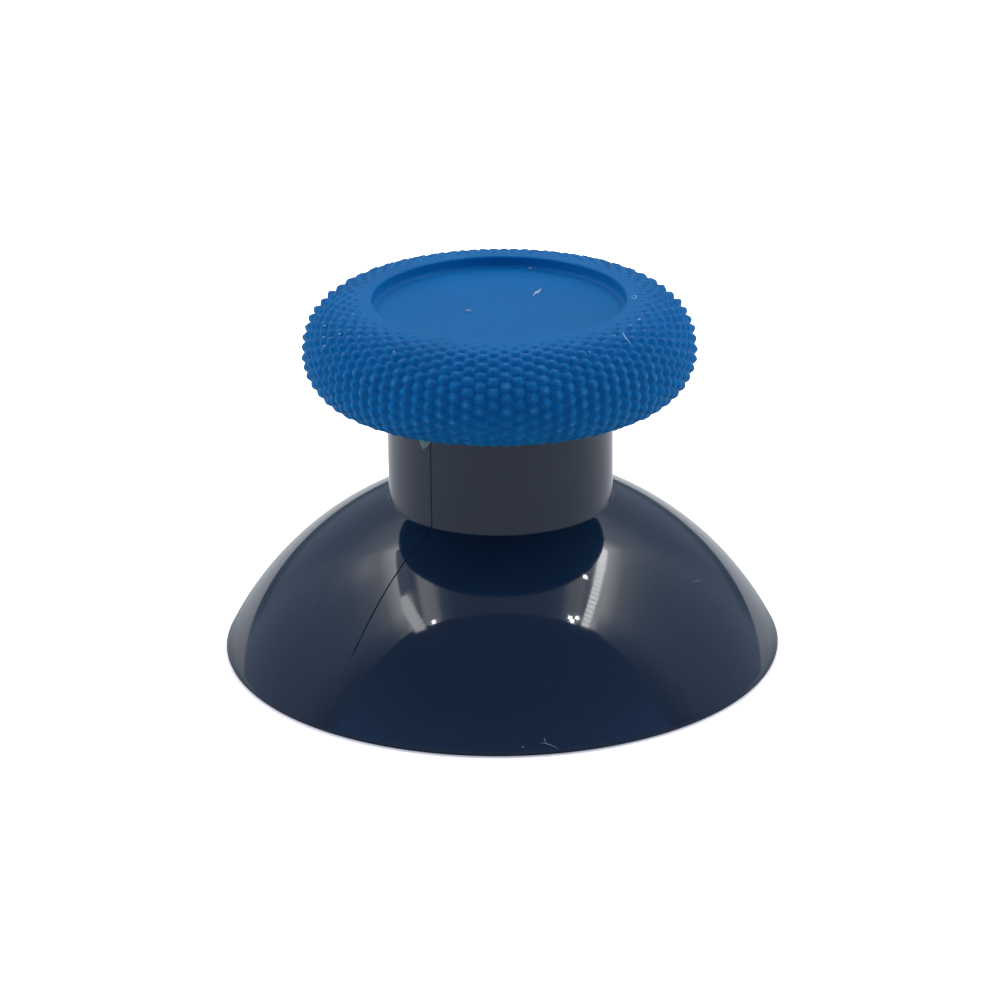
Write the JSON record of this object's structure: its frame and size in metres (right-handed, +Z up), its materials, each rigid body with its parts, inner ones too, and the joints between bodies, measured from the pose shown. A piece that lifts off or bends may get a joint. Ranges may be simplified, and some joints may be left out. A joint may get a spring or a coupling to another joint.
{
  "type": "controller thumb grip",
  "caption": "Analogue stick cap for a game controller: glossy hollow dome skirt and stem under a soft blue cap with a knurled rim and a shallow thumb recess.",
  "frame": {"origin": "centre of the circle that the skirt's rim stands on", "axes": "+Z up along the stem's axis; the flats of the lever socket face along X; the picture looks along +Y"},
  "size_m": [0.025, 0.025, 0.0164],
  "materials": {
    "skirt_plastic": "polished injection-moulded plastic, very dark navy, nearly black",
    "cap_rubber": "satin soft-touch rubber, mid blue, knurled on the rim and smooth in the recess"
  },
  "bodies": {
    "root": {"stick_base": "skirt_plastic", "grip_cap": "cap_rubber"}
  },
  "joints": []
}
